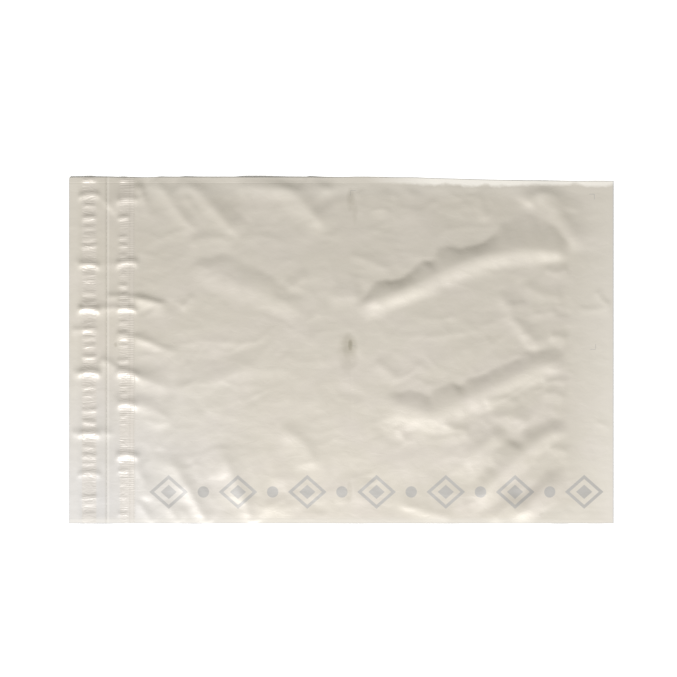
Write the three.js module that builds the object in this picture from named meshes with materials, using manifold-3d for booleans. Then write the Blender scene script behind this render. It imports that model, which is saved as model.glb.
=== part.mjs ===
// A poly mailer bag lying flat with its label side up and its flap open.
//
// Millimetres. X runs from the flap's free edge (-X) to the bottom fold (+X), Y runs across the bag,
// and Z is up from the surface it lies on. The origin is on that surface, in the middle of the bag.

import * as THREE from 'three';
import { mergeVertices } from 'three/addons/utils/BufferGeometryUtils.js';
import Module from 'manifold-3d';

const wasm = await Module();
wasm.setup();

// The film
const bagWidth = 305;
const bodyLength = 420;
const flapLength = 60;
const filmThickness = 0.08;
const sideWeldWidth = 5;
const bottomFoldDepth = 0.8;
const cornerRadius = 2.7;

// The air between the two panels
const pocketHeight = 7;
const pocketRoundness = 0.6;
const pocketFallLength = 90;

// The glue bands and their liners, as distances from the flap's free edge
const glueThickness = 0.05;
const linerThickness = 0.07;
const linerWidth = 15;
const glueWidth = 12;
const shippingBandStart = 10.3;
const returnBandStart = 43.9;

// The tear line
const tearLineDistance = 33.2;
const slitCount = 60;
const slitLength = 3.4;
const slitPitch = 5;
const slitWidth = 0.25;
const slitCutHeight = 6;

// The spacing of the faces, closer over the glue, beside the welds and towards the bottom fold
const bodyStep = 28;
const glueStep = 3;
const fallShares = [0.25, 0.5, 0.7, 0.85, 0.95, 1];
const acrossStep = 18;
const middleRowsReach = 126;
const weldInsets = [0, 3, 10];
const mergeDistance = 1e-5;

const freeEdgeX = -(bodyLength + flapLength) / 2;
const bottomX = (bodyLength + flapLength) / 2;
const mouthX = freeEdgeX + flapLength;
const fallStartX = bottomX - bottomFoldDepth - pocketFallLength;
const pocketEndX = fallStartX + pocketFallLength;
const sideY = bagWidth / 2;
const weldY = sideY - sideWeldWidth;
const tearLineX = freeEdgeX + tearLineDistance;
const flapRestZ = glueThickness + linerThickness;

// Where each liner and its glue start and end along X
function bandEdges(start) {
  const linerStart = freeEdgeX + start;
  const glueStart = linerStart + (linerWidth - glueWidth) / 2;
  return {
    liner: [linerStart, linerStart + linerWidth],
    glue: [glueStart, glueStart + glueWidth],
  };
}

const shippingBand = bandEdges(shippingBandStart);
const returnBand = bandEdges(returnBandStart);

// Even stations from start to end, both included
function stations(start, end, step) {
  const count = Math.round((end - start) / step);
  const gap = (end - start) / count;
  const places = Array.from({ length: count }, (_, i) => start + i * gap);
  return [...places, end];
}

const flapColumns = [
  freeEdgeX,
  ...shippingBand.liner,
  ...shippingBand.glue,
  tearLineX,
  (tearLineX + returnBand.liner[0]) / 2,
  ...returnBand.liner,
  ...stations(...returnBand.glue, glueStep),
].sort((a, b) => a - b);

const fallColumns = fallShares.map((share) => fallStartX + pocketFallLength * share);
const bodyColumns = [...stations(mouthX, fallStartX, bodyStep), ...fallColumns];
const columns = [...flapColumns, ...bodyColumns, bottomX];

const lowRows = weldInsets.map((inset) => inset - weldY);
const middleRows = stations(-middleRowsReach, middleRowsReach, acrossStep);
const highRows = lowRows.map((y) => -y).reverse();
const rows = [-sideY, ...lowRows, ...middleRows, ...highRows, sideY];

const mouthColumn = columns.indexOf(mouthX);
const pocketEndColumn = columns.indexOf(pocketEndX);
const lowWeldRow = 1;
const highWeldRow = rows.length - 2;

// The clear height between the panels: highest along the middle, nothing at the welds and the fold
function pocketGap(x, y) {
  const across = Math.max(0, 1 - (y / weldY) ** 2) ** pocketRoundness;
  const fall = Math.min(1, Math.max(0, (x - fallStartX) / pocketFallLength));
  const along = Math.max(0, 1 - fall ** 2) ** pocketRoundness;
  return pocketHeight * across * along;
}

// The underside of the label panel and the flap. The flap hangs from the mouth down to the shipping
// band, and from there it lies on that band's liner.
function labelUnderside(x, y) {
  const mouthZ = filmThickness + pocketGap(Math.max(x, mouthX), y);
  if (x >= mouthX) return mouthZ;
  const drape = THREE.MathUtils.smoothstep(x, shippingBand.liner[1], mouthX);
  return flapRestZ + (mouthZ - flapRestZ) * drape;
}

const labelTop = (x, y) => labelUnderside(x, y) + filmThickness;
const backTop = () => filmThickness;
const backUnderside = () => 0;

// The flap's left corner is rounded, so the corner point moves onto the arc
function cornerPoint(x, y) {
  if (x > freeEdgeX || y < sideY) return [x, y];
  const inset = cornerRadius * (1 - Math.SQRT1_2);
  return [x + inset, y - inset];
}

// A closed mesh gathered from single triangles. Points at the same place become one vertex.
class Skin {
  positions = [];

  triangle(a, b, c) {
    this.positions.push(...a, ...b, ...c);
  }

  quad(a, b, c, d) {
    this.triangle(a, b, c);
    this.triangle(a, c, d);
  }

  // One face over a patch of the grid, at the height that the function gives
  sheet(height, columnRange, rowRange, facesUp) {
    const point = (i, j) => {
      const [x, y] = cornerPoint(columns[i], rows[j]);
      return [x, y, height(columns[i], rows[j])];
    };
    for (let i = columnRange[0]; i < columnRange[1]; i++) {
      for (let j = rowRange[0]; j < rowRange[1]; j++) {
        const corners = [point(i, j), point(i + 1, j), point(i + 1, j + 1), point(i, j + 1)];
        if (facesUp) this.quad(...corners);
        else this.quad(corners[0], corners[3], corners[2], corners[1]);
      }
    }
  }

  // An upright wall between two heights, along a list of grid points, facing right of their direction
  wall(low, high, points) {
    for (let k = 0; k + 1 < points.length; k++) {
      const [p, q] = [points[k], points[k + 1]];
      const [px, py] = cornerPoint(...p);
      const [qx, qy] = cornerPoint(...q);
      const corners = [
        [px, py, low(...p)],
        [qx, qy, low(...q)],
        [qx, qy, high(...q)],
        [px, py, high(...p)],
      ];
      this.quad(...corners);
    }
  }

  geometry() {
    const geometry = new THREE.BufferGeometry();
    geometry.setAttribute('position', new THREE.Float32BufferAttribute(this.positions, 3));
    return mergeVertices(geometry, mergeDistance);
  }
}

const along = (from, to, y) => columns.slice(from, to + 1).map((x) => [x, y]);
const across = (x, from, to) => rows.slice(from, to + 1).map((y) => [x, y]);

// The folded and welded film before the tear line is cut
function filmGeometry() {
  const skin = new Skin();
  const lastColumn = columns.length - 1;
  const lastRow = rows.length - 1;
  const pocket = [mouthColumn, pocketEndColumn];
  const betweenWelds = [lowWeldRow, highWeldRow];

  skin.sheet(labelTop, [0, lastColumn], [0, lastRow], true);
  skin.sheet(labelUnderside, [0, mouthColumn], [0, lastRow], false);
  skin.sheet(labelUnderside, pocket, betweenWelds, false);
  skin.sheet(backTop, pocket, betweenWelds, true);
  skin.sheet(backUnderside, [mouthColumn, lastColumn], [0, lastRow], false);

  const labelOutline = [
    ...across(freeEdgeX, 0, lastRow).reverse(),
    ...along(1, lastColumn, -sideY),
    ...across(bottomX, 1, lastRow),
    ...along(0, lastColumn - 1, sideY).reverse(),
  ];
  const backOutline = [
    ...across(mouthX, 0, lastRow).reverse(),
    ...along(mouthColumn + 1, lastColumn, -sideY),
    ...across(bottomX, 1, lastRow),
    ...along(mouthColumn, lastColumn - 1, sideY).reverse(),
  ];
  skin.wall(labelUnderside, labelTop, labelOutline);
  skin.wall(backUnderside, backTop, backOutline);
  return skin.geometry();
}

// A band under the flap, between two depths below the flap's underside
function bandGeometry([startX, endX], topDepth, bottomDepth) {
  const skin = new Skin();
  const [first, last] = [columns.indexOf(startX), columns.indexOf(endX)];
  const top = (x, y) => labelUnderside(x, y) - topDepth;
  const bottom = (x, y) => labelUnderside(x, y) - bottomDepth;

  skin.sheet(top, [first, last], [lowWeldRow, highWeldRow], true);
  skin.sheet(bottom, [first, last], [lowWeldRow, highWeldRow], false);
  skin.wall(bottom, top, across(endX, lowWeldRow, highWeldRow));
  skin.wall(bottom, top, across(startX, lowWeldRow, highWeldRow).reverse());
  skin.wall(bottom, top, along(first, last, -weldY));
  skin.wall(bottom, top, along(first, last, weldY).reverse());
  return skin.geometry();
}

// three.js geometry to a manifold solid, and back
function toSolid(geometry) {
  const bare = geometry.clone();
  bare.deleteAttribute('normal');
  bare.deleteAttribute('uv');
  const merged = mergeVertices(bare, mergeDistance);
  const mesh = new wasm.Mesh({
    numProp: 3,
    vertProperties: new Float32Array(merged.attributes.position.array),
    triVerts: new Uint32Array(merged.index.array),
  });
  return new wasm.Manifold(mesh);
}

function toGeometry(solid) {
  const { vertProperties, triVerts } = solid.getMesh();
  const geometry = new THREE.BufferGeometry();
  geometry.setAttribute('position', new THREE.BufferAttribute(vertProperties, 3));
  geometry.setIndex(new THREE.BufferAttribute(triVerts, 1));
  return geometry;
}

// The tear line: short slits through the flap, with uncut film between them and at both ends
function cutTearLine(uncutFilm) {
  const halfRow = ((slitCount - 1) * slitPitch) / 2;
  let solid = toSolid(uncutFilm);
  for (const y of stations(-halfRow, halfRow, slitPitch)) {
    const slit = new THREE.BoxGeometry(slitWidth, slitLength, slitCutHeight);
    slit.translate(tearLineX, y, 0);
    solid = solid.subtract(toSolid(slit));
  }
  return toGeometry(solid);
}

const film = new THREE.MeshStandardMaterial({ color: 0xd9d2c6, roughness: 0.42, metalness: 0 });
const glue = new THREE.MeshStandardMaterial({ color: 0xe6dfc4, roughness: 0.2, metalness: 0 });
const liner = new THREE.MeshStandardMaterial({ color: 0xeef1ee, roughness: 0.35, metalness: 0 });

function addPiece(name, geometry, material) {
  geometry.computeVertexNormals();
  const mesh = new THREE.Mesh(geometry, material);
  mesh.name = name;
  group.add(mesh);
}

const group = new THREE.Group();
addPiece('film_bag', cutTearLine(filmGeometry()), film);
for (const [name, band] of [['shipping_glue', shippingBand], ['return_glue', returnBand]]) {
  addPiece(`${name}_band`, bandGeometry(band.glue, 0, glueThickness), glue);
  addPiece(`${name}_liner`, bandGeometry(band.liner, glueThickness, flapRestZ), liner);
}

export default group;
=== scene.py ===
import math

import bpy
import numpy as np
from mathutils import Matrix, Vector


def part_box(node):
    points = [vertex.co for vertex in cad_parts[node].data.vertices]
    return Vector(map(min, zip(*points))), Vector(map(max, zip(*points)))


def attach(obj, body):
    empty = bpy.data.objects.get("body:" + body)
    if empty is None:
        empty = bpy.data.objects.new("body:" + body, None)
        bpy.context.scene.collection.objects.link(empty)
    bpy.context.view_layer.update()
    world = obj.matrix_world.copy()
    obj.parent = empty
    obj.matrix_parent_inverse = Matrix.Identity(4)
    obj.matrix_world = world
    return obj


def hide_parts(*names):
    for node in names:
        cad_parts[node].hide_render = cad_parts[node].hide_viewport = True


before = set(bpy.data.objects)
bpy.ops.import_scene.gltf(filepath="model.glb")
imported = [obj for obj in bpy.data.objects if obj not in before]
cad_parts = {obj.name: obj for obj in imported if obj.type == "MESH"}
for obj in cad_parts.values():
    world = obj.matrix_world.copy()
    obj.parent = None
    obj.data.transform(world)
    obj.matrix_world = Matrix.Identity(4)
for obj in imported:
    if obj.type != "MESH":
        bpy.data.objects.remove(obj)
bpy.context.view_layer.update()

# All shapes below are worked out in millimetres and turned into metres when a mesh is made.
mm = 0.001


def softStep(low, high, value):
    share = np.clip((value - low) / (high - low), 0, 1)
    return share * share * (3 - 2 * share)


def spread(start, end, step):
    return np.linspace(start, end, max(1, round((end - start) / step)) + 1)


def softNoise(u, v, seed):  # smooth lumps one unit apart, from -1 to 1
    size = 64  # the lumps repeat after this many
    lattice = np.random.default_rng(seed).uniform(-1, 1, (size, size))
    column, row = np.floor(u).astype(int), np.floor(v).astype(int)
    a, b = u - column, v - row
    a, b = a ** 3 * (a * (6 * a - 15) + 10), b ** 3 * (b * (6 * b - 15) + 10)

    def corner(i, j):
        return lattice[(column + i) % size, (row + j) % size]

    near = corner(0, 0) * (1 - a) + corner(1, 0) * a
    far = corner(0, 1) * (1 - a) + corner(1, 1) * a
    return near * (1 - b) + far * b


def smoothPath(points, perSpan=6):  # a curve through given points
    points = np.array(points, float)
    padded = np.vstack([2 * points[0] - points[1], points, 2 * points[-1] - points[-2]])
    steps = np.arange(perSpan)[:, None] / perSpan
    spans = []
    for p0, p1, p2, p3 in zip(padded, padded[1:], padded[2:], padded[3:]):
        bend = 2 * p0 - 5 * p1 + 4 * p2 - p3
        turn = 3 * p1 - p0 - 3 * p2 + p3
        spans.append(p1 + 0.5 * steps * (p2 - p0 + steps * (bend + steps * turn)))
    return np.vstack([*spans, points[-1:]])


filmLow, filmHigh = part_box("film_bag")
shippingLow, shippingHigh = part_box("shipping_glue_liner")
returnLow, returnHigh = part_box("return_glue_liner")

bag = {
    "mouthFromEdge": 60.0,
    "sideWeld": 5.0,
    "bottomFold": 0.8,
    "filmThickness": 0.08,
    "cornerRadius": 2.7,
    "tearFromEdge": 33.2,
    "slitWidth": 0.08,
    "slitLength": 3.4,
    "slitPitch": 5.0,
    "flapStep": 1.5,  # the mesh is finer on the flap than on the body
    "bodyStep": 2.1,
    "backStep": (4, 3),  # the back panel takes every fourth column and every third row
    "sharpAngle": 40.0,
    "airHeight": 4.2,  # the loose film over the back panel
    "mouthAir": 3.6,
    "airFall": (60.0, 215.0),  # where the loose film comes down towards the bottom end
    "lastFall": 205.0,
    "fallShare": 0.82,
    "shoulder": 0.14,  # the small step beside the welds
    "shoulderSeed": 61,
    "foldScale": 0.62,
    "wrinkleScale": 0.50,
    "taut": (0.5, 2.4),  # folds between these heights are more and more free of wrinkles
    "tautCalm": 0.6,
    "endCalm": 0.5,  # fewer wrinkles at the bottom end
    "endStart": (199.0, 207.0),
    "flapCalm": 0.5,  # the folds are this much lower on the flap
    "edgeLift": 0.3,
    "edgeWave": 34.0,
    "edgeSeed": 71,
    "backRise": 14.0,  # how far in from a weld the back panel is lifted with the folds
    "taper": 3.4,  # the folds pull the upper edge in towards the bottom end
    "taperSpan": (20.0, 205.0),
    "ripple": 0.3,
    "rippleLength": 16.0,
    "rippleSeed": 83,
}

glue = {
    "thickness": 0.05,
    "inset": 1.5,  # the liner is wider than its glue on each side
    "finish": "tacky glue",
    "colour": (0.80, 0.74, 0.56, 1),
    "roughness": 0.18,
}

liner = {
    "thickness": 0.07,
    "finish": "silicone liner",
    "colour": (0.84, 0.86, 0.84, 1),
    "roughness": 0.32,
}

freeEdge, bottomEdge = filmLow.x / mm, filmHigh.x / mm
side = filmHigh.y / mm
weld = side - bag["sideWeld"]
mouth = freeEdge + bag["mouthFromEdge"]
foldLine = bottomEdge - bag["bottomFold"]
tearLine = freeEdge + bag["tearFromEdge"]
bands = {
    "shipping": (shippingLow.x / mm, shippingHigh.x / mm),
    "return": (returnLow.x / mm, returnHigh.x / mm),
}
film = bag["filmThickness"]
flapRest = glue["thickness"] + liner["thickness"]  # the flap lies on its glue and liner


# The film's folds. Each crest runs across the label side. below and above are how far its flanks
# reach, towards -Y and +Y where the crest runs left to right. ends is how far the fold takes to rise
# at its start and to die away at its end, and round is how blunt the crest is. A faced fold has a
# crisp foot above, and an easy one is soft on both sides.
folds = [
    {"crest": [(14, 33), (24, 41), (35, 47), (50, 52), (70, 61), (85, 69), (105, 78), (123, 84.5),
               (150, 91.5), (165, 92.5), (178, 92), (190, 90), (203, 86)], "faced": True,
     "below": [19, 18, 17, 16.5, 17, 17.5, 18, 18.5, 18.5, 18, 18, 19, 18, 16, 12, 8],
     "above": [5, 8, 13, 12.5, 11, 12.5, 16, 19, 12, 10, 17, 22, 27, 24, 14, 6],
     "height": [4.7, 4.7, 4.8, 5.0, 5.0, 4.8, 4.2, 3.6], "ends": (22, 14), "round": 0},
    {"crest": [(34, -42), (48, -47), (64, -51), (80, -54), (100, -45.5), (120, -37), (140, -27),
               (160, -17.5), (180, -10), (201, -8)], "faced": True,
     "below": [24, 26, 25, 24, 20, 20, 20, 18, 17, 17, 16, 10],
     "above": [10, 12, 15, 18, 17, 15, 14, 13, 13, 14, 15, 8],
     "height": [3.2, 3.6, 3.9, 3.9, 3.7, 3.3, 2.8], "ends": (20, 18), "round": 0},
    {"crest": [(112, -149), (121, -134), (131, -120), (141, -108), (150, -98), (160, -89), (170, -81),
               (180, -74.5), (190, -70), (202, -69)], "easy": True,
     "below": [10, 12, 13, 14, 15, 15, 14, 12, 10, 6], "above": [10, 12, 15, 18, 19, 19, 17, 15, 13, 10],
     "height": [2.2, 3.4, 4.4, 4.5, 4.2, 3.2, 2.0], "ends": (40, 16), "round": 0},
    {"crest": [(102, -112), (111, -99), (122, -87), (134, -76), (144, -66)],
     "below": 10, "above": 9, "height": 3.0, "ends": (34, 14), "round": 2.0},
    {"crest": [(150, -157), (158, -146), (167, -137), (176, -126), (185, -117), (200, -114)],
     "easy": True, "below": [12, 14, 15, 15, 10], "above": [13, 14, 14, 14, 14],
     "height": [3.6, 3.8, 3.8, 3.2, 2.0], "ends": (24, 18), "round": 0},
    {"crest": [(132, -157), (140, -144), (148, -136), (158, -128)],
     "below": 9, "above": 6.5, "height": 2.0, "ends": (12, 12), "round": 1.2},
    {"crest": [(160, 128), (170, 138), (180, 137), (191, 126), (202, 108), (211, 88)],
     "below": 9, "above": 8, "height": 2.6, "ends": (10, 18), "round": 2.0},
    {"crest": [(168, 144), (184, 141), (198, 130), (214, 126)],
     "below": 3, "above": 6, "height": 0.8, "ends": (8, 10), "round": 0.9},
    {"crest": [(178, 76), (189, 71), (201, 75)],
     "below": 5, "above": 3.5, "height": 0.9, "ends": (5, 5), "round": 0.9},
    {"crest": [(-209, 48), (-192, 47.5), (-174, 45.5), (-160, 42), (-150, 40)],
     "below": 6, "above": [2.6, 3, 2.8], "height": [3.6, 3.4, 2.4, 2.2], "ends": (6, 10), "round": 0.8},
    {"crest": [(-236, 36), (-224, 37.5), (-206, 37.5), (-192, 38.5), (-178, 36)],
     "below": [4, 4.5, 5, 4], "above": 2.6, "height": 3.0, "ends": (8, 12), "round": 0.8},
    {"crest": [(-239, 18), (-226, 18.5), (-212, 17)],
     "below": 3, "above": 2.4, "height": 1.9, "ends": (4, 6), "round": 0.6},
    {"crest": [(-238, 78), (-224, 77), (-206, 76), (-192, 78), (-176, 80)],
     "below": 4, "above": 3, "height": [1.6, 1.6, 0.9, 1.6, 1.4], "ends": (6, 12), "round": 0.8},
    {"crest": [(-238, -20), (-222, -18.5), (-208, -19.5)],
     "below": 4, "above": 3.2, "height": 2.2, "ends": (4, 8), "round": 0.8},
    {"crest": [(-239, -73), (-222, -71.5), (-206, -72.5), (-198, -76)],
     "below": 4.5, "above": 3, "height": 2.2, "ends": (4, 10), "round": 0.8},
    {"crest": [(-200, -92), (-188, -90.5), (-174, -95)],
     "below": 4, "above": 3, "height": 1.6, "ends": (4, 8), "round": 0.8},
    {"crest": [(-142, 36), (-136, 42), (-129, 51)],
     "below": 3.5, "above": 3, "height": 0.9, "ends": (4, 6), "round": 0.8},
    {"crest": [(-164, 153), (-156, 141), (-147, 128), (-137, 115), (-126, 103)],
     "below": 5.5, "above": 9, "height": 2.2, "ends": (4, 14), "round": 1.2},
    {"crest": [(-141, 138), (-133, 129), (-124, 117)],
     "below": 3, "above": 3.5, "height": 0.7, "ends": (8, 8), "round": 1.0},
    {"crest": [(-143, 153), (-128, 142), (-116, 130), (-103, 115), (-88, 99)],
     "below": [9, 8, 7, 6, 5], "above": [8, 9, 10, 10, 8], "height": 2.8, "ends": (6, 14), "round": 1.6},
    {"crest": [(-136, 94), (-120, 99), (-104, 98), (-92, 94)],
     "below": 5, "above": 4, "height": 0.9, "ends": (8, 6), "round": 1.4},
    {"crest": [(-96, 152), (-76, 151), (-58, 147), (-42, 139), (-30, 127), (-20, 115), (-12, 103)],
     "below": [9, 11, 13, 13, 9, 7, 6], "above": [8, 8, 8, 9, 10, 10, 9],
     "height": [3.0, 4.2, 4.2, 3.6, 3.2, 2.8], "ends": (12, 18), "round": 1.6},
    {"crest": [(-30, 155), (-18, 146), (-4, 141)],
     "below": 8, "above": 5, "height": 2.2, "ends": (3, 10), "round": 1.4},
    {"crest": [(-134, 77), (-116, 71), (-95, 63), (-80, 57), (-65, 50), (-50, 43), (-35, 36), (-24, 32)],
     "faced": True, "below": [12, 17, 22, 20, 18, 17, 16], "above": [5, 13, 20, 15, 13, 12, 12],
     "height": 1.7, "ends": (14, 26), "round": 0},
    {"crest": [(-14, 46), (-2, 48), (10, 49), (20, 50)],
     "below": 6, "above": [4, 11, 12, 6], "height": 1.4, "ends": (10, 8), "round": 1.6},
    {"crest": [(-48, 52), (-38, 61), (-27, 68)],
     "below": 3.5, "above": 5, "height": 0.8, "ends": (6, 8), "round": 1.0},
    {"crest": [(4, 83), (16, 82), (28, 77), (46, 70)],
     "below": 4, "above": 4, "height": 0.8, "ends": (8, 10), "round": 1.0},
    {"crest": [(-208, 125), (-195, 135.5), (-183, 142), (-172, 145)],
     "below": 10, "above": 6, "height": 3.0, "ends": (5, 6), "round": 1.4},
    {"crest": [(-176, 139), (-171, 128), (-172, 117)],
     "below": 4, "above": 3, "height": 0.8, "ends": (5, 8), "round": 1.4},
    {"crest": [(-158, -84), (-147, -101), (-136, -120), (-126, -138), (-118, -154)],
     "below": [12, 9, 7, 5, 4], "above": [12, 9, 8, 7, 6], "height": 2.6, "ends": (24, 3), "round": 1.0},
    {"crest": [(-138, -82), (-129, -100), (-121, -120), (-115, -140)],
     "below": 4, "above": 6, "height": 0.6, "ends": (16, 12), "round": 1.4},
    {"crest": [(-110, -80), (-101, -98), (-93, -116), (-85, -134), (-79, -154)],
     "below": [12, 9, 7, 6, 5], "above": [12, 10, 9, 8, 8], "height": 2.6, "ends": (24, 3), "round": 1.2},
    {"crest": [(-86, -88), (-78, -106), (-69, -126), (-62, -146)],
     "below": 5, "above": 6, "height": 0.6, "ends": (16, 10), "round": 1.4},
    {"crest": [(-156, -132), (-149, -142), (-143, -153)],
     "below": 3, "above": 4, "height": 1.1, "ends": (10, 3), "round": 0.8},
    {"crest": [(-144, -136), (-138, -145), (-134, -153)],
     "below": 2.5, "above": 3, "height": 0.7, "ends": (8, 3), "round": 0.8},
    {"crest": [(-182, -128), (-174, -140), (-166, -153)],
     "below": 3.5, "above": 4, "height": 1.2, "ends": (10, 3), "round": 0.8},
    {"crest": [(-72, -137), (-56, -139), (-40, -137)],
     "below": 9, "above": 7, "height": 0.6, "ends": (12, 12), "round": 2.0},
    {"crest": [(-66, -112), (-54, -113), (-40, -115)],
     "below": 8, "above": 7, "height": 0.8, "ends": (10, 10), "round": 2.0},
    {"crest": [(-200, 15), (-188, 13), (-172, 9), (-156, 2), (-140, -2)],
     "below": 5, "above": [2.5, 3, 4], "height": [2.6, 2.2, 1.3, 1.1], "ends": (4, 14), "round": 1.0},
    {"crest": [(-214, -7), (-204, -11), (-194, -17), (-178, -23), (-162, -29), (-148, -34)],
     "below": [4, 5, 7, 8], "above": [2.4, 3, 5, 9, 12], "height": [2.8, 3.0, 2.2, 1.9], "ends": (4, 14),
     "round": 1.0},
    {"crest": [(-150, -33), (-128, -31), (-104, -22), (-82, -14), (-64, -10)],
     "below": 7, "above": 6, "height": 1.0, "ends": (10, 24), "round": 2.4},
    {"crest": [(-202, -43), (-188, -45), (-174, -48), (-160, -56), (-148, -65)],
     "below": [4, 5, 9, 10], "above": [3, 4, 7, 8], "height": [2.6, 2.2, 1.4, 1.3], "ends": (6, 14),
     "round": 2.0},
    {"crest": [(-186, -100), (-177, -108), (-173, -120), (-174, -134)],
     "below": 4, "above": 5, "height": 1.3, "ends": (5, 8), "round": 1.6},
    {"crest": [(140, 58), (147, 38), (157, 23), (171, 9), (178, 2)],
     "below": 5, "above": 8, "height": 1.7, "ends": (16, 10), "round": 1.2},
    {"crest": [(146, 42), (154, 42), (163, 46)],
     "below": 4, "above": 3, "height": 0.8, "ends": (3, 6), "round": 0.8},
    {"crest": [(158, 62), (170, 55), (184, 50), (196, 51)],
     "below": 5, "above": 5, "height": 0.9, "ends": (8, 6), "round": 1.2},
    {"crest": [(164, 36), (178, 34), (192, 38)],
     "below": 4, "above": 4, "height": 0.7, "ends": (6, 6), "round": 1.0},
    {"crest": [(182, 13), (191, 14), (200, 10)],
     "below": 5, "above": 4, "height": 1.1, "ends": (5, 4), "round": 1.2},
    {"crest": [(224, 56), (230, 47), (238, 42)],
     "below": 2.5, "above": 2, "height": 0.7, "ends": (4, 2), "round": 0.6},
    {"crest": [(206, 40), (220, 38), (238, 41)],
     "below": 4, "above": 3, "height": 0.6, "ends": (8, 2), "round": 0.8},
    {"crest": [(28, -8), (40, -17), (54, -28)],
     "below": 5, "above": 4, "height": 0.9, "ends": (8, 10), "round": 1.4},
    {"crest": [(88, -62), (98, -68), (106, -69), (114, -72)],
     "below": 5, "above": 3.5, "height": 1.2, "ends": (8, 5), "round": 1.0},
    {"crest": [(128, -57), (136, -58), (147, -57), (158, -60), (165, -66)],
     "below": 6, "above": 8, "height": 1.5, "ends": (8, 5), "round": 1.1},
    {"crest": [(124, -45), (134, -43), (146, -42), (156, -47)],
     "below": 5, "above": 3, "height": 0.8, "ends": (6, 4), "round": 1.0},
    {"crest": [(176, -28), (188, -25), (200, -27)],
     "below": 3.5, "above": 3, "height": 0.7, "ends": (5, 4), "round": 0.9},
    {"crest": [(176, -37), (188, -37), (198, -41)],
     "below": 4, "above": 4, "height": 0.8, "ends": (6, 4), "round": 0.9},
    {"crest": [(180, -86), (190, -86), (201, -90)],
     "below": 3.5, "above": 4, "height": 0.7, "ends": (6, 4), "round": 0.9},
    {"crest": [(222, -62), (230, -64), (238, -68)],
     "below": 3, "above": 3, "height": 0.5, "ends": (4, 2), "round": 0.8},
    {"crest": [(-56, -70), (-42, -74), (-31, -84), (-25, -96), (-24, -106)],
     "below": 8, "above": 5, "height": 1.2, "ends": (10, 8), "round": 1.6},
    {"crest": [(48, -66), (53, -73), (59, -82)],
     "below": 3, "above": 3, "height": 0.6, "ends": (4, 4), "round": 0.8},
    {"crest": [(-76, -142), (-62, -136), (-46, -127)],
     "below": 6, "above": 5, "height": 0.5, "ends": (8, 8), "round": 1.4},
    {"crest": [(48, -132), (64, -139), (84, -145), (100, -146)],
     "below": 4, "above": 6, "height": 0.9, "ends": (10, 8), "round": 1.4},
    {"crest": [(14, 143), (17, 128), (13, 114)],
     "below": 5, "above": 5, "height": 0.9, "ends": (6, 12), "round": 1.6},
    {"crest": [(42, 144), (38, 130), (30, 116)],
     "below": 6, "above": 6, "height": 0.9, "ends": (8, 12), "round": 1.8},
    {"crest": [(66, 144), (62, 128), (64, 110)],
     "below": 6, "above": 6, "height": 0.9, "ends": (8, 12), "round": 2.0},
    {"crest": [(118, 143), (124, 128), (126, 112)],
     "below": 7, "above": 6, "height": 1.0, "ends": (8, 10), "round": 2.0},
]


def softFlank(share):  # falls away slowly, with no foot to be seen
    return np.exp(-share ** 1.3)


def easyFlank(share):  # steepest half way down, and gone at its foot
    return 0.5 + 0.5 * np.cos(math.pi * np.clip(share, 0, 1))


def crispFlank(share):  # steeper and steeper down to a crisp foot
    left = 1 - share ** 1.5
    return 0.5 * (left + np.sqrt(left ** 2 + 0.004))


foldLook = {
    "reach": 4,  # in flank widths, past which a fold has no height
    "footLength": 8.0,  # the feet wander to and fro along a fold
    "lowerWander": 0.06,
    "upperWander": 0.25,
    "footSeed": 31,
    "crestLength": 22.0,  # the crest rises and falls a little
    "crestWave": 0.07,
    "crestSeed": 47,
}


def alongFold(place, total, values):  # one value or a list of them, spread evenly from start to end
    return np.interp(place, np.linspace(0, total, np.size(values)), np.atleast_1d(values))


def foldHeight(x, y, fold):
    path = smoothPath(fold["crest"])
    reach = foldLook["reach"] * max(np.max(fold["below"]), np.max(fold["above"]))
    near = (x > path[:, 0].min() - reach) & (x < path[:, 0].max() + reach)
    near &= (y > path[:, 1].min() - reach) & (y < path[:, 1].max() + reach)
    px, py = x[near], y[near]
    spans = np.diff(path, axis=0)
    lengths = np.hypot(*spans.T)
    starts = np.concatenate([[0], np.cumsum(lengths)])
    best = np.full(px.shape, np.inf)
    place = np.zeros(px.shape)
    leftOf = np.zeros(px.shape)
    for (sx, sy), (dx, dy), length, start in zip(path, spans, lengths, starts):
        share = np.clip(((px - sx) * dx + (py - sy) * dy) / length ** 2, 0, 1)
        ox, oy = px - sx - share * dx, py - sy - share * dy
        distance = np.hypot(ox, oy)
        closer = distance < best
        best[closer] = distance[closer]
        place[closer] = (start + share * length)[closer]
        leftOf[closer] = (dx * oy - dy * ox)[closer]
    total = starts[-1]
    ragged = softNoise(place / foldLook["footLength"], best / 40, foldLook["footSeed"])
    below = alongFold(place, total, fold["below"]) * (1 + foldLook["lowerWander"] * ragged)
    above = alongFold(place, total, fold["above"]) * (1 + foldLook["upperWander"] * ragged)
    crest = fold["round"]
    away = np.sqrt(best ** 2 + crest ** 2) - crest
    faced, easy = fold.get("faced", False), fold.get("easy", False)
    lowerFlank = easyFlank if faced or easy else softFlank
    upperFlank = crispFlank if faced else lowerFlank
    flanks = np.where(leftOf > 0, upperFlank(away / above), lowerFlank(away / below))
    fade = softStep(0, fold["ends"][0], place) * softStep(0, fold["ends"][1], total - place)
    wave = softNoise(place / foldLook["crestLength"], np.full_like(place, 0.5), foldLook["crestSeed"])
    along = 1 + foldLook["crestWave"] * wave
    height = np.zeros(x.shape)
    height[near] = alongFold(place, total, fold["height"]) * fade * along * np.maximum(0, flanks)
    return height


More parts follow.
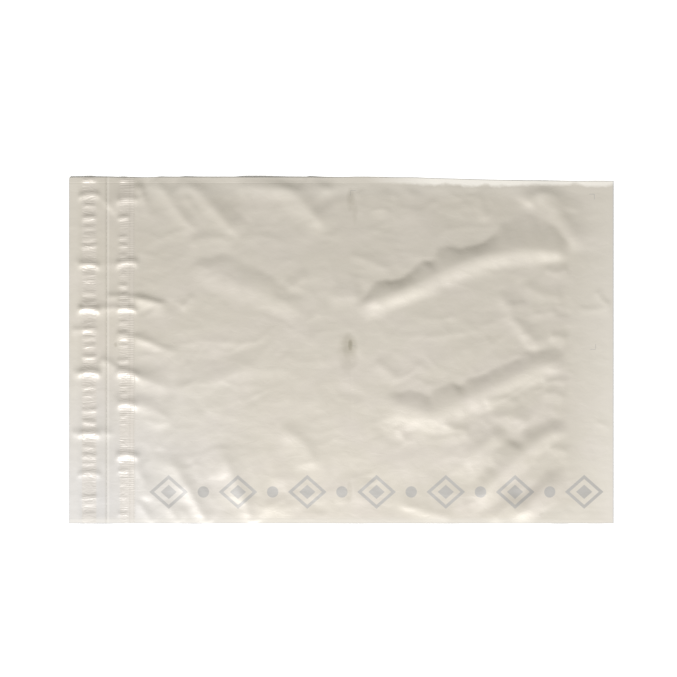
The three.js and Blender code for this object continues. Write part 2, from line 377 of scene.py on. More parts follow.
# Many low wrinkles that lie one way in each part of the bag. centre and reach say where they are.
wrinkles = [
    {"angle": 8, "length": 34, "width": 13, "height": 0.56, "seed": 1},
    {"angle": -16, "length": 20, "width": 8, "height": 0.30, "seed": 2},
    {"angle": 38, "length": 20, "width": 11, "height": 0.36, "seed": 12},
    {"angle": 72, "length": 12, "width": 7, "height": 0.22, "seed": 13},
    {"angle": 4, "length": 12, "width": 5, "height": 0.11, "seed": 14},
    {"angle": -50, "length": 42, "width": 9, "height": 0.6, "seed": 3,
     "centre": (-125, 122), "reach": (75, 34)},
    {"angle": -60, "length": 46, "width": 10, "height": 0.6, "seed": 4,
     "centre": (-112, -120), "reach": (85, 36)},
    {"angle": -74, "length": 34, "width": 11, "height": 0.6, "seed": 5,
     "centre": (-15, 132), "reach": (80, 26)},
    {"angle": 80, "length": 34, "width": 12, "height": 0.5, "seed": 6,
     "centre": (85, 128), "reach": (70, 26)},
    {"angle": 48, "length": 42, "width": 10, "height": 0.6, "seed": 7,
     "centre": (165, -122), "reach": (50, 34)},
    {"angle": 28, "length": 22, "width": 8, "height": 0.5, "seed": 8,
     "centre": (150, -15), "reach": (50, 70)},
    {"angle": -12, "length": 26, "width": 8, "height": 0.6, "seed": 9,
     "centre": (-165, -10), "reach": (26, 120)},
    {"angle": 100, "length": 26, "width": 9, "height": 0.4, "seed": 10,
     "centre": (30, -125), "reach": (60, 26)},
]


wrinkleLook = {
    "lumps": 0.5,  # soft swellings
    "lift": 0.35,
    "creases": 1.1,  # valleys between them
    "creaseWidth": 0.02,
    "leastPatch": 0.45,  # each layer is weaker in patches of this size
    "patchSize": (38.0, 34.0),
}


def wrinkleHeight(x, y, layer):
    angle = math.radians(layer["angle"])
    u = (x * math.cos(angle) + y * math.sin(angle)) / layer["length"]
    v = (y * math.cos(angle) - x * math.sin(angle)) / layer["width"]
    seed = layer["seed"] * 10
    u = u + 0.5 * softNoise(u * 1.3, v * 0.6, seed + 1)
    v = v + 0.7 * softNoise(u * 1.1, v * 0.5, seed + 2)
    look = wrinkleLook
    lumps = softNoise(u, v, seed + 3)
    creases = np.hypot(softNoise(u * 0.8, v * 0.8, seed + 4), look["creaseWidth"])
    patches = softNoise(x / look["patchSize"][0], y / look["patchSize"][1], seed + 5)
    patchy = look["leastPatch"] + (1 - look["leastPatch"]) * softStep(-0.35, 0.4, patches)
    shape = look["lumps"] * lumps + look["lift"] - look["creases"] * creases
    height = layer["height"] * patchy * shape
    if "centre" in layer:
        (cx, cy), (rx, ry) = layer["centre"], layer["reach"]
        height = height * np.exp(-((x - cx) / rx) ** 2 - ((y - cy) / ry) ** 2)
    return height


# The film puckers where it is stuck to a glue band. Each pucker runs across its band, and the tall
# ones reach past it. Between two tall ones the stuck film bulges, so the lines curl there. marks is
# where the lower ones lie on their band: how far off its middle, and half their length.
puckers = {
    "shipping": {
        "tall": [134.5, 73, 34, -22, -76, -111],
        "middle": [115, 89.5, 40, 17.4, -8, -55, -65.5, -95, -132],
        "low": [149, 126, 106.5, 100, 96, 65, 60, 49, 22.5, 9.5, 2, -33.5, -41, -87, -101, -136.5, -146.5],
        "seed": 5, "marks": (0.0, 6.0),
    },
    "return": {
        "tall": [130.5, 75, 34, -22, -50, -95.5],
        "middle": [115, 97.5, 90, 55, 40.5, 13, 9, -11, -40, -108, -146.5],
        "low": [149, 82, 65, 47, 23, 3, -33.5, -60, -66, -84, -119, -131],
        "seed": 9, "marks": (-3.2, 4.0),
    },
    "sizes": {  # height, half width, how far past the glue it reaches
        "tall": (0.86, 2.8, 3.5),
        "middle": (0.85, 1.9, 0.6),
        "low": (0.58, 1.55, -0.4),
    },
    "stickDepth": 0.3,
    "slant": 0.10,
    "curl": 3.0,
    "tallCurl": -1.2,
    "fromTop": 0.2,  # they grow towards the bag's upper edge
    "falls": (1.4, 1.2),  # a little steeper on the upper side
}


def puckerHeight(x, y, band):
    look = puckers[band]
    start, end = bands[band]
    middle, half = (start + end) / 2, (end - start) / 2
    rng = np.random.default_rng(look["seed"])
    off = np.abs(x - middle)
    tall = np.sort([-side, *look["tall"], side])
    cell = np.interp(y, tall, np.arange(len(tall)))
    bulge = np.abs(np.sin(math.pi * cell))
    stuck = 1 - softStep(-1.3, 1.3, off - (half - 1.8 + 2.0 * bulge))
    height = -puckers["stickDepth"] * stuck * (np.abs(y) < weld)
    for kind, (tallness, width, past) in puckers["sizes"].items():
        for centre in look[kind]:
            placeInCell = np.interp(centre, tall, np.arange(len(tall))) % 1
            curl = puckers["tallCurl"] if kind == "tall" else puckers["curl"] * (0.5 - placeInCell)
            slant = rng.uniform(-puckers["slant"], puckers["slant"])
            size = tallness * rng.uniform(0.8, 1.1) * (1 + puckers["fromTop"] * centre / side)
            shift, narrow = (0, half - glue["inset"]) if kind == "tall" else look["marks"]
            reach = narrow + past + rng.uniform(-0.8, 0.8)
            across = x - middle - shift
            line = centre + 1.2 * width + curl * (across / half) ** 2 + slant * across
            along = 1 - softStep(reach - 2.2, reach + 1.6, np.abs(across))
            away = (y - line) / (width * rng.uniform(0.85, 1.15))
            height += size * along * np.exp(-(away ** 2) / np.where(away < 0, *puckers["falls"]))
    return height


def airHeight(x, y):  # how far the loose film stands off the back panel before it is wrinkled
    across = np.maximum(0, 1 - (y / weld) ** 2)
    last = np.clip((x - bag["lastFall"]) / (foldLine - bag["lastFall"]), 0, 1)
    fall = bag["fallShare"] * softStep(*bag["airFall"], x) + (1 - bag["fallShare"]) * last
    rise = softStep(mouth, mouth + 90, x)
    dome = across * (1 - fall) * (bag["mouthAir"] + (bag["airHeight"] - bag["mouthAir"]) * rise)
    ragged = 0.5 + 0.5 * softNoise(x / 9, np.sign(y) * 1.5, bag["shoulderSeed"])
    shoulder = bag["shoulder"] * ragged * softStep(0, 2.6, weld - np.abs(y))
    return dome + shoulder * softStep(0, 3, foldLine - x)


def edgeLift(x, y):  # the welded edges don't lie quite flat
    nearEdge = softStep(weld - 8, side, np.abs(y))
    wave = 0.5 + 0.5 * softNoise(x / bag["edgeWave"], np.sign(y) * 3.5, bag["edgeSeed"])
    calm = 1 - 0.6 * softStep(20, 90, x) * (y > 0)
    return bag["edgeLift"] * nearEdge * wave * calm * softStep(0, 12, bottomEdge - x)


def looseFilm(x, y):  # the label side's folds, wrinkles and puckers together
    height = np.zeros(x.shape)
    for fold in folds:
        height += foldHeight(x, y, fold)
    height *= bag["foldScale"]
    taut = softStep(*bag["taut"], height)
    calm = (1 - bag["endCalm"] * softStep(*bag["endStart"], x)) * (1 - bag["tautCalm"] * taut)
    calm *= 0.3 + 0.7 * softStep(0, 12, weld - np.abs(y))
    for layer in wrinkles:
        height += bag["wrinkleScale"] * calm * wrinkleHeight(x, y, layer)
    onFlap = 1 - softStep(mouth - 6, mouth + 4, x)
    height *= 1 - bag["flapCalm"] * onFlap
    for band in bands:
        height += puckerHeight(x, y, band)
    return height


def standOff(x, y, loose):  # the label film over the back panel, in the body of the bag
    down = 1 - 0.7 * softStep(weld - 8, side, np.abs(y)) * np.where(y > 0, 1, 0.6)
    return np.maximum(0, airHeight(x, y) + loose * down * softStep(0, 6, foldLine - x))


def labelUnderside(x, y, loose):
    atMouth = np.maximum(x, mouth)
    body = film + standOff(atMouth, y, loose)
    drape = softStep(bands["shipping"][1], mouth, x)
    flap = flapRest + (film - flapRest + airHeight(atMouth, y)) * drape
    flap += np.maximum(0, puckers["stickDepth"] * (1 - drape) + loose)
    toBody = softStep(mouth - 4, mouth, x)
    return np.where(x >= mouth, body, flap * (1 - toBody) + body * toBody) + edgeLift(x, y)


def backUnderside(x, y, loose):  # the back panel lies on the table, and follows the folds at the welds
    pulledUp = 1 - softStep(0, bag["backRise"], weld - np.abs(y))
    return edgeLift(x, y) + standOff(np.maximum(x, mouth), y, loose) * pulledUp


def shapeOutline(x, y):  # the rounded corner of the flap, and the taper of the upper edge
    inset = bag["cornerRadius"] * (1 - math.sqrt(0.5))
    corner = (x <= freeEdge) & (y >= side)
    x, y = np.where(corner, x + inset, x), np.where(corner, y - inset, y)
    pull = bag["taper"] * softStep(*bag["taperSpan"], x) * (y + side) / (2 * side)
    ripple = softNoise(x / bag["rippleLength"], np.sign(y) * 2.5, bag["rippleSeed"])
    ripple = ripple * softStep(weld - 10, side, np.abs(y))
    return x, y - pull + bag["ripple"] * ripple


def nearest(stations, value):
    return int(np.argmin(np.abs(stations - value)))


def bagColumns():
    half = bag["slitWidth"] / 2
    marks = [freeEdge, tearLine - half, tearLine + half, mouth]
    for start, end in bands.values():
        marks += [start, start + glue["inset"], end - glue["inset"], end]
    marks.sort()
    columns = [mouth]
    for start, end in zip(marks, marks[1:]):
        columns.extend(spread(start, end, bag["flapStep"])[:-1])
    columns.extend(spread(mouth, foldLine, bag["bodyStep"]))
    columns.append(bottomEdge)
    return np.unique(np.round(columns, 4))


columns = bagColumns()
slitCentres = np.arange(-weld, weld + 1, bag["slitPitch"])
halfSlit = bag["slitLength"] / 2
slitRows = [centre + offset for centre in slitCentres for offset in (-halfSlit, 0, halfSlit)]
endRow = (side + slitRows[-1]) / 2
rows = np.array([-side, -endRow, *slitRows, endRow, side])
mouthColumn, foldColumn = nearest(columns, mouth), nearest(columns, foldLine)
lastColumn, lastRow = len(columns) - 1, len(rows) - 1
weldRows = (nearest(rows, -weld), nearest(rows, weld))
gridX, gridY = np.meshgrid(columns, rows, indexing="ij")
print("bag grid", gridX.shape)

loose = looseFilm(gridX, gridY)
underside = labelUnderside(gridX, gridY, loose)
backLow = backUnderside(gridX, gridY, loose)
outX, outY = shapeOutline(gridX, gridY)
# At the welds and the bottom fold the two panels are one.
onEdge = 0.01
shut = (np.abs(gridY) > weld - onEdge) | (gridX > foldLine - onEdge)
labelLow = np.where(shut & (gridX >= mouth), backLow + film, underside)
layers = {
    "labelTop": labelLow + film,
    "labelUnderside": labelLow,
    "backTop": backLow + film,
    "backUnderside": backLow,
}
print("film heights", round(float(layers["labelTop"].max()), 2), "mm")


class Skin:  # gathers a mesh from patches of the bag's grid
    def __init__(self):
        self.points, self.faces, self.finishes, self.known = [], [], [], {}

    def point(self, layer, i, j, drop=0.0):
        spot = (round(outX[i, j], 4), round(outY[i, j], 4), round(layers[layer][i, j] - drop, 5))
        if spot not in self.known:
            self.known[spot] = len(self.points)
            self.points.append([c * mm for c in spot])
        return self.known[spot]

    def face(self, corners, finish):
        self.faces.append(corners)
        self.finishes.append(finish)

    def sheet(self, layer, columnRange, rowRange, up, finish=0, step=(1, 1), skip=(), drop=0.0):
        (i0, i1), (j0, j1) = columnRange, rowRange
        across = [*range(i0, i1, step[0]), i1]
        along = [*range(j0, j1, step[1]), j1]
        for a, b in zip(across, across[1:]):
            for c, d in zip(along, along[1:]):
                if (a, c) in skip:
                    continue
                # where a coarse patch meets a fine edge, its outer faces take in the fine points
                loop = [(i, c) for i in (range(a, b) if c == j0 else (a,))]
                loop += [(b, j) for j in (range(c, d) if b == i1 else (c,))]
                loop += [(i, d) for i in (range(b, a, -1) if d == j1 else (b,))]
                loop += [(a, j) for j in (range(d, c, -1) if a == i0 else (d,))]
                corners = [self.point(layer, i, j, drop) for i, j in loop]
                self.face(corners if up else corners[::-1], finish)

    def wall(self, low, high, spots, finish=0, drops=(0.0, 0.0)):  # faces right of the way it runs
        for p, q in zip(spots, spots[1:]):
            corners = [
                self.point(low, *p, drops[0]), self.point(low, *q, drops[0]),
                self.point(high, *q, drops[1]), self.point(high, *p, drops[1]),
            ]
            self.face(corners, finish)

    def build(self, name, finishes):
        mesh = bpy.data.meshes.new(name)
        mesh.from_pydata(self.points, [], self.faces)
        for finish in finishes:
            mesh.materials.append(finish)
        mesh.polygons.foreach_set("material_index", self.finishes)
        mesh.polygons.foreach_set("use_smooth", [True] * len(self.faces))
        mesh.validate()
        mesh.set_sharp_from_angle(angle=math.radians(bag["sharpAngle"]))
        piece = bpy.data.objects.new(name, mesh)
        bpy.context.scene.collection.objects.link(piece)
        return piece


def alongColumns(start, end, j):
    step = 1 if end > start else -1
    return [(i, j) for i in range(start, end + step, step)]


def alongRows(i, start, end):
    step = 1 if end > start else -1
    return [(i, j) for j in range(start, end + step, step)]


def makeBag(labelFinish, insideFinish):  # finish 0 is the label side's, 1 the back's and the inside's
    skin = Skin()
    slitColumn = nearest(columns, tearLine - bag["slitWidth"] / 2)
    slitStarts = [nearest(rows, centre - halfSlit) for centre in slitCentres]
    slits = {(slitColumn, j + n) for j in slitStarts for n in (0, 1)}
    pocket = ((mouthColumn, foldColumn), weldRows)

    skin.sheet("labelTop", (0, lastColumn), (0, lastRow), True, 0, skip=slits)
    skin.sheet("labelUnderside", (0, mouthColumn), (0, lastRow), False, 1, skip=slits)
    skin.sheet("labelUnderside", *pocket, False, 1)
    skin.sheet("backTop", *pocket, True, 1, step=bag["backStep"])
    skin.sheet("backUnderside", (mouthColumn, lastColumn), (0, lastRow), False, 1, step=bag["backStep"])

    labelOutline = alongRows(0, lastRow, 0) + alongColumns(1, lastColumn, 0)
    labelOutline += alongRows(lastColumn, 1, lastRow) + alongColumns(lastColumn - 1, 0, lastRow)
    backOutline = alongRows(mouthColumn, lastRow, 0) + alongColumns(mouthColumn + 1, lastColumn, 0)
    backOutline += alongRows(lastColumn, 1, lastRow) + alongColumns(lastColumn - 1, mouthColumn, lastRow)
    skin.wall("labelUnderside", "labelTop", labelOutline, 1)
    skin.wall("backUnderside", "backTop", backOutline, 1)
    for j in slitStarts:
        rim = alongRows(slitColumn, j, j + 2) + alongRows(slitColumn + 1, j + 2, j)
        skin.wall("labelUnderside", "labelTop", [*rim, rim[0]], 1)
    return skin.build("film_bag_skin", [labelFinish, insideFinish])


def makeBand(name, band, inset, topDrop, bottomDrop, finish):
    start, end = bands[band]
    first, last = nearest(columns, start + inset), nearest(columns, end - inset)
    low, high = weldRows
    skin = Skin()
    skin.sheet("labelUnderside", (first, last), (low, high), True, drop=topDrop)
    skin.sheet("labelUnderside", (first, last), (low, high), False, drop=bottomDrop)
    ring = alongColumns(first, last, low) + alongRows(last, low + 1, high)
    ring += alongColumns(last - 1, first, high) + alongRows(first, high - 1, low)
    skin.wall("labelUnderside", "labelUnderside", ring, drops=(bottomDrop, topDrop))
    return skin.build(name, [finish])


class Signal:  # one output socket in a material's nodes, which can be used in sums
    def __init__(self, tree, socket=None):
        self.tree = tree
        self.socket = socket

    # adds one node: its settings go first, then the values or links of its sockets
    def make(self, kind, settings=None, values=None, output=0):
        node = self.tree.nodes.new("ShaderNode" + kind)
        for key, setting in (settings or {}).items():
            setattr(node, key, setting)
        for key, value in (values or {}).items():
            if isinstance(value, Signal):
                self.tree.links.new(value.socket, node.inputs[key])
            else:
                node.inputs[key].default_value = value
        return Signal(self.tree, node.outputs[output]) if node.outputs else None

    def math(self, operation, first, second=None):
        values = {0: first} if second is None else {0: first, 1: second}
        return self.make("Math", {"operation": operation}, values)

    def __add__(self, other):
        return self.math("ADD", self, other)

    def __sub__(self, other):
        return self.math("SUBTRACT", self, other)

    def __mul__(self, other):
        return self.math("MULTIPLY", self, other)

    def __truediv__(self, other):
        return self.math("DIVIDE", self, other)

    def __radd__(self, other):
        return self.math("ADD", other, self)

    def __rsub__(self, other):
        return self.math("SUBTRACT", other, self)

    def __rmul__(self, other):
        return self.math("MULTIPLY", other, self)

    def __rtruediv__(self, other):
        return self.math("DIVIDE", other, self)

    def __abs__(self):
        return self.math("ABSOLUTE", self)

    def most(self, other):
        return self.math("MAXIMUM", self, other)

    def sine(self):
        return self.math("SINE", self)

    def clamp(self):
        return self.make("Clamp", None, {"Value": self})

    def inside(self, reach, soft):  # 1 where the value is under reach, with a soft edge
        return ((reach - self) / soft + 0.5).clamp()

    def part(self, axis):
        return self.make("SeparateXYZ", None, {0: self}, axis)

    def scaled(self, factors):
        return self.make("VectorMath", {"operation": "MULTIPLY"}, {0: self, 1: factors})

    def tint(self, colour, other, share):
        return self.make("Mix", {"data_type": "RGBA"}, {0: share, 6: colour, 7: other}, 2)

    def noise(self, place, factors, detail=2.0, distortion=0.0):
        values = {"Vector": place.scaled(factors), "Scale": 1.0, "Detail": detail, "Distortion": distortion}
        return self.make("TexNoise", {"noise_dimensions": "3D"}, values)


def startFinish(name):
    material = bpy.data.materials.new(name)
    material.use_nodes = True
    material.node_tree.nodes.clear()
    return material, Signal(material.node_tree)


def millimetres(start):  # where a point is on its piece
    return start.make("TexCoord", output="Object").scaled((1 / mm, 1 / mm, 1 / mm))


def relief(start, height):  # a bump from a height in millimetres
    return start.make("Bump", None, {"Strength": 1.0, "Distance": mm, "Height": height})


def endFinish(start, values):
    start.make("OutputMaterial", None, {"Surface": start.make("BsdfPrincipled", None, values)})


def strongest(signals):
    total = signals[0]
    for signal in signals[1:]:
        total = total.most(signal)
    return total


filmLook = {
    "light": (0.550, 0.517, 0.458, 1),
    "deep": (0.517, 0.482, 0.416, 1),
    "rosy": (0.556, 0.516, 0.466, 1),
    "coolSheen": (0.548, 0.535, 0.521, 1),
    "shadeAndDirt": (0.30, 0.275, 0.215, 1),
    "paleHighlight": (0.80, 0.775, 0.72, 1),
    "edge": (0.36, 0.38, 0.42, 1),
    "roughness": 0.34,
    "roughnessSpread": 0.12,
    "sheen": 0.20,
    "gloss": 1.75,
    "clouds": (0.011, 0.018, 0.02),  # lumps to the millimetre along X, Y and Z
    "patches": (0.022, 0.028, 0.02),
    "mottle": (0.09, 0.12, 0.1),
    "crinkles": (0.10, 0.16, 0.2),
    "crinkleDepth": 0.10,
    "grain": (0.8, 0.9, 0.8),
    "grainDepth": 0.012,
    "seamDepth": 0.04,
    "scoreDepth": 0.13,  # along the tear line
    "pleatDepth": {"shipping": 0.26, "return": 0.20},
    "ribDepth": {"shipping": 0.015, "return": 0.045},
    "ribPitch": 1.85,
    "bandTint": 0.5,
    "embossed": (-186.0, -182.3),
    "embossedDepth": (0.04, 0.12),  # at least, and how much more where the line is deep
    "weldHighlight": 0.34,
    "endHighlight": 0.34,
    "endHighlightFrom": 196,
    "flapHighlight": 0.14,
    "cornerPale": 0.26,
    "underWeldPale": 0.15,
    "edgeShadowShare": 0.6,
}


def filmTone(start, place, x, y, toTop):  # the cloudy tone of the film, with nothing on it
    look = filmLook
    cloudy = start.noise(place, look["clouds"], detail=3)
    mottle = start.noise(place, look["mottle"], detail=4)
    patches = start.noise(place, look["patches"], detail=3)
    colour = start.tint(look["light"], look["deep"], (cloudy * 0.9 + mottle * 0.5 - 0.2).clamp())
    colour = start.tint(colour, look["rosy"], (patches * 5 - 2.2).clamp() * (0.7 - 0.4 * toTop))
    # painted sheen: greyer and cooler towards the flap's lower end, where the lamp's reflection is
    # strongest
    coolSheenShare = ((-60 - x) / 150).clamp() * ((10 - y) / 140).clamp()
    colour = start.tint(colour, look["coolSheen"], coolSheenShare * (0.75 + patches * 0.5))
    return colour, cloudy, mottle


def gluedStrip(start, place, x, y, band, height, colour):  # pleats and fine ribs where the glue holds
    low, high = bands[band]
    offMiddle = x - (low + high) / 2
    shift, half = puckers[band]["marks"]
    onMarks = abs(offMiddle - shift).inside(half, 1.2)
    onBand = abs(offMiddle).inside((high - low) / 2 - 1.2, 0.9)
    pleats = start.noise(place, (0.06, 0.19, 0.1), detail=2, distortion=1.2)
    height = height - onMarks * abs(pleats - 0.5) * (2 * filmLook["pleatDepth"][band])
    patchy = start.noise(place, (0.04, 0.07, 0.1), detail=2)
    wander = start.noise(place, (0.012, 0.08, 0.1), detail=1) * 8
    ribs = ((y + wander) * (2 * math.pi / filmLook["ribPitch"])).sine()
    height = height + onBand * ribs * (patchy * 3.0 - 1.0).clamp() * filmLook["ribDepth"][band]
    return height, start.tint(colour, filmLook["rosy"], onBand * filmLook["bandTint"])


def pressedLines(start, place, x, y, toTop, height, colour):  # embossed lines, weld seams, tear line
    look = filmLook
    least, more = look["embossedDepth"]
    for line in look["embossed"]:
        off = abs(x - line)
        shaky = start.noise(place, (0.5, 0.6, 0.1), detail=1)
        height = height - off.inside(0.6, 0.9) * (least + shaky * more)
        # painted shade along each embossed groove
        colour = start.tint(colour, look["shadeAndDirt"], off.inside(0.6, 1.6) * 0.10)
    seamEdge = start.noise(place, (0.12, 0.02, 0.1), detail=2) * 1.6 - 0.8
    seam = abs(abs(y) - weld + seamEdge).inside(0.4, 0.7)
    seenSeam = (0.25 + toTop) * ((60 - x) / 100).clamp()
    score = abs(x - tearLine).inside(0.7, 1.3)
    height = height - seam * seenSeam * look["seamDepth"] - score * look["scoreDepth"]
    # painted shade on the tear line's left side and a painted highlight on its right side, as on a groove
    # lit from the left
    colour = start.tint(colour, look["shadeAndDirt"], abs(x - tearLine + 0.6).inside(0.9, 1.5) * 0.17)
    colour = start.tint(colour, look["paleHighlight"], abs(x - tearLine - 1.4).inside(0.7, 1.6) * 0.25)
    return height, colour


def edgeHighlightsAndShadow(start, place, x, y, toTop, colour):
    look = filmLook
    # painted highlights where the film faces the lamp: paler along the welds, most on the lifted top right
    # weld, towards the bottom end and by the flap's free edge. Paler also at the lower right corner.
    toRight = ((x - 10) / 70).clamp()
    paleEdge = start.noise(place, (0.08, 0.08, 0.1), detail=3) * 8 - 4
    onWeld = (abs(y) + toRight * toTop * (2.6 + paleEdge)).inside(weld + 0.5, -3.5)
    weldShare = (onWeld * (look["weldHighlight"] * (1 - toTop) + toTop * toRight)).clamp()
    endShare = ((x - look["endHighlightFrom"]) / 40).clamp() * (look["endHighlight"] - 0.16 * toTop)
    flapShare = ((freeEdge + 14 - x) / 8).clamp() * look["flapHighlight"]
    cornerShare = ((-130 - y) / 10).clamp() * ((x - 150) / 55).clamp() * look["cornerPale"]
    underWeld = ((y - 131) / 9).clamp() * ((x - mouth) / 10).clamp() * look["underWeldPale"]
    palest = weldShare.most(endShare).most(flapShare).most(underWeld).most(cornerShare)
    colour = start.tint(colour, look["paleHighlight"], palest)
    # painted shadow: a thin grey line along the lower edge, the bottom end and the flap's free edge, where
    # the film's raised edge throws a little shade
    edgeShadowLine = abs(y + side - 0.2).inside(0.4, 0.6).most(abs(x - bottomEdge + 0.2).inside(0.5, 0.6))
    edgeShadowLine = edgeShadowLine.most(abs(x - freeEdge - 0.2).inside(0.5, 0.8) * 0.6)
    return start.tint(colour, look["edge"], edgeShadowLine * look["edgeShadowShare"])


labelPrint = {
    "ink": (0.37, 0.365, 0.355, 1),
    "inkShare": 0.85,
    "rowCentre": -124.5,
    "rowStart": -152,
    "rowPitch": 61.0,
    "rowCount": 7,
    "lozenge": (17.0, 15.0),  # half its width and height
    "dot": 5.0,
    "cornerWidth": 0.55,
    "cornerLeg": 4.6,
    "cornerShare": 0.75,
    "corners": [(8.0, 141.0, 1, -1), (223.0, 137.8, -1, -1), (8.0, 4.2, 1, 1), (224.0, 1.0, -1, 1)],
}


def rowOfShapes(x, y):  # plain lozenges with a dot between each two
    row = labelPrint
    dy = abs(y - row["rowCentre"])
    wide, tall = row["lozenge"]
    shapes = []
    for n in range(row["rowCount"]):
        dx = abs(x - (row["rowStart"] + n * row["rowPitch"]))
        lozenge = dx / wide + dy / tall
        shapes.append(abs(lozenge - 0.88).inside(0.12, 0.03).most(lozenge.inside(0.42, 0.03)))
        if n + 1 < row["rowCount"]:
            dx = x - (row["rowStart"] + (n + 0.5) * row["rowPitch"])
            shapes.append((dx * dx + dy * dy).inside(row["dot"] ** 2, 3.0))
    return strongest(shapes)


def fieldCorners(x, y):  # right angles at the corners of the label field
    legs = []
    for cx, cy, alongX, alongY in labelPrint["corners"]:
        dx, dy = (x - cx) * alongX, (y - cy) * alongY
        leg, half = labelPrint["cornerLeg"], labelPrint["cornerWidth"] / 2
        legs.append(abs(dx - leg / 2).inside(leg / 2, 0.3) * abs(dy).inside(half, 0.3))
        legs.append(abs(dy - leg / 2).inside(leg / 2, 0.3) * abs(dx).inside(half, 0.3))
    return strongest(legs)


wear = {
    "creaseX": 8.0,
    "creaseDepth": 0.10,
    "shadedSmudges": [  # place, size and strength of the painted shade and dirt along the middle crease and by the mouth
        (7.8, 5.0, 2.2, 5.5, 0.85), (7.0, 4.0, 8.0, 12.0, 0.34), (5.5, -1.0, 10.0, 19.0, 0.26),
        (8.0, 133.0, 4.0, 11.0, 0.30), (12.0, 122.0, 3.0, 12.0, 0.16), (7.0, -125.0, 3.0, 10.0, 0.22),
        (-198.8, 5.2, 1.8, 2.4, 0.4),
    ],
}


def shadedAndSmudged(start, place, x, y, colour):
    for sx, sy, rx, ry, strength in wear["shadedSmudges"]:
        ragged = start.noise(place, (1.1 / rx, 1.1 / rx, 0.3), detail=4) * 1.2 - 0.6
        u, v = (x - sx) / rx, (y - sy) / ry
        share = (1.1 - (u * u + v * v) + ragged).clamp()
        # painted shade in the crease together with dirt: darker blotches on the film
        colour = start.tint(colour, filmLook["shadeAndDirt"], share * strength)
    return colour


def filmFinish(name, printed):
    look = filmLook
    material, start = startFinish(name)
    place = millimetres(start)
    x, y = place.part(0), place.part(1)
    toTop = ((y + 60) / 200).clamp()
    colour, cloudy, mottle = filmTone(start, place, x, y, toTop)

    crinkle = start.noise(place, look["crinkles"], detail=3, distortion=0.8) - 0.5
    grain = start.noise(place, look["grain"], detail=2) - 0.5
    height = crinkle * look["crinkleDepth"] + grain * look["grainDepth"]
    for band in bands:
        height, colour = gluedStrip(start, place, x, y, band, height, colour)
    height, colour = pressedLines(start, place, x, y, toTop, height, colour)
    colour = edgeHighlightsAndShadow(start, place, x, y, toTop, colour)

    if printed:
        wander = start.noise(place, (0.02, 0.05, 0.1), detail=2) * 6 - 3
        onCrease = abs(x - wear["creaseX"] - wander).inside(1.1, 2.2) * (cloudy * 4 - 2.0).clamp()
        height = height - onCrease * wear["creaseDepth"]
        inked = rowOfShapes(x, y).most(fieldCorners(x, y) * labelPrint["cornerShare"])
        colour = start.tint(colour, labelPrint["ink"], inked * labelPrint["inkShare"])
        colour = shadedAndSmudged(start, place, x, y, colour)
    endFinish(start, {
        "Base Color": colour,
        "Roughness": mottle * look["roughnessSpread"] + look["roughness"],
        "Metallic": look["sheen"],
        "IOR": look["gloss"],
        "Normal": relief(start, height),
    })
    return material


def plainFinish(piece):  # one mottled colour with a fine grain
    material, start = startFinish(piece["finish"])
    place = millimetres(start)
    mottle = start.noise(place, (0.12, 0.12, 0.12), detail=3)
    darker = tuple(c * 0.9 for c in piece["colour"][:3]) + (1,)
    grain = start.noise(place, (0.6, 0.6, 0.6), detail=2) * 0.03
    endFinish(start, {
        "Base Color": start.tint(piece["colour"], darker, mottle),
        "Roughness": piece["roughness"],
        "Normal": relief(start, grain),
    })
    return material


labelFilm = filmFinish("pearl film, label side", True)
backFilm = filmFinish("pearl film, back and inside", False)
glueFinish, linerFinish = plainFinish(glue), plainFinish(liner)
print("finishes made")

filmPiece = makeBag(labelFilm, backFilm)
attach(filmPiece, "root")
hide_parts("film_bag")
print("film", len(filmPiece.data.polygons), "faces")

for band in bands:
    glueBand = makeBand(band + "_glue_skin", band, glue["inset"], 0.0, glue["thickness"], glueFinish)
    bandLiner = makeBand(band + "_liner_skin", band, 0.0, glue["thickness"], flapRest, linerFinish)
    for piece, node, slot in ((glueBand, "_glue_band", "glue"), (bandLiner, "_glue_liner", "liner")):
        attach(piece, "root")
        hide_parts(band + node)
print("glue bands and liners made")


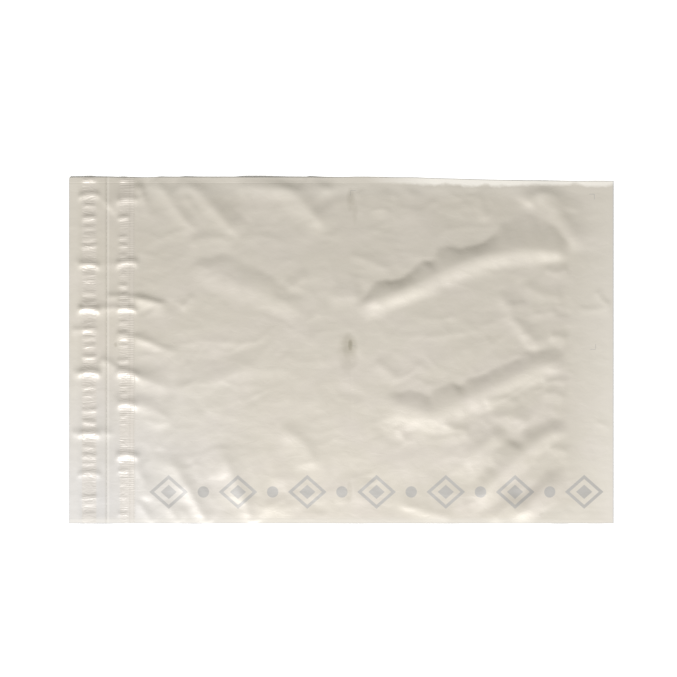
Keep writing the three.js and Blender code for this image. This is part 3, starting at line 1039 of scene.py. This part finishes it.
studio = {
    "floorDrop": 0.1,  # in millimetres, as the bag lies on the floor
    "floorSize": 8.0,
    "floorColour": (0.95, 0.95, 0.95, 1),
    "floorRoughness": 0.9,
    "lensLength": 100.0,
    "sensorWidth": 36.0,
    "frameWidth": 0.5967,
    "cameraPlace": (-0.0025, 0.0106),
    "softBoxPower": 176.0,
    "softBoxColour": (0.99, 0.985, 1.0),
    "softBoxPlace": (-0.55, -2.45, 1.85),
    "softBoxSize": (1.5, 0.65),
    "fill": 0.37,
    "fillColour": (1.0, 0.976, 0.885, 1),
}


def makeStudio():
    half = studio["floorSize"] / 2
    z = -studio["floorDrop"] * mm
    corners = [(-half, -half, z), (half, -half, z), (half, half, z), (-half, half, z)]
    mesh = bpy.data.meshes.new("studio_floor")
    mesh.from_pydata(corners, [], [(0, 1, 2, 3)])
    floor = bpy.data.objects.new("studio_floor", mesh)
    bpy.context.scene.collection.objects.link(floor)
    material, start = startFinish("white paper")
    endFinish(start, {"Base Color": studio["floorColour"], "Roughness": studio["floorRoughness"]})
    mesh.materials.append(material)

    light = bpy.data.lights.new("soft_box", "AREA")
    light.shape = "RECTANGLE"
    light.size, light.size_y = studio["softBoxSize"]
    light.energy = studio["softBoxPower"]
    light.color = studio["softBoxColour"]
    lamp = bpy.data.objects.new("soft_box", light)
    lamp.location = studio["softBoxPlace"]
    lamp.rotation_euler = (-Vector(studio["softBoxPlace"])).to_track_quat("-Z", "Y").to_euler()
    bpy.context.scene.collection.objects.link(lamp)

    world = bpy.data.worlds.new("studio")
    world.use_nodes = True
    background = world.node_tree.nodes["Background"]
    background.inputs["Color"].default_value = studio["fillColour"]
    background.inputs["Strength"].default_value = studio["fill"]
    bpy.context.scene.world = world
    bpy.context.scene.view_settings.view_transform = "Standard"


def makeCamera():
    data = bpy.data.cameras.new("camera")
    data.lens = studio["lensLength"]
    data.sensor_width = studio["sensorWidth"]
    distance = studio["frameWidth"] * data.lens / data.sensor_width
    camera = bpy.data.objects.new("camera", data)
    camera.location = (*studio["cameraPlace"], distance)
    bpy.context.scene.collection.objects.link(camera)
    bpy.context.scene.camera = camera


makeStudio()
makeCamera()
print("studio ready")
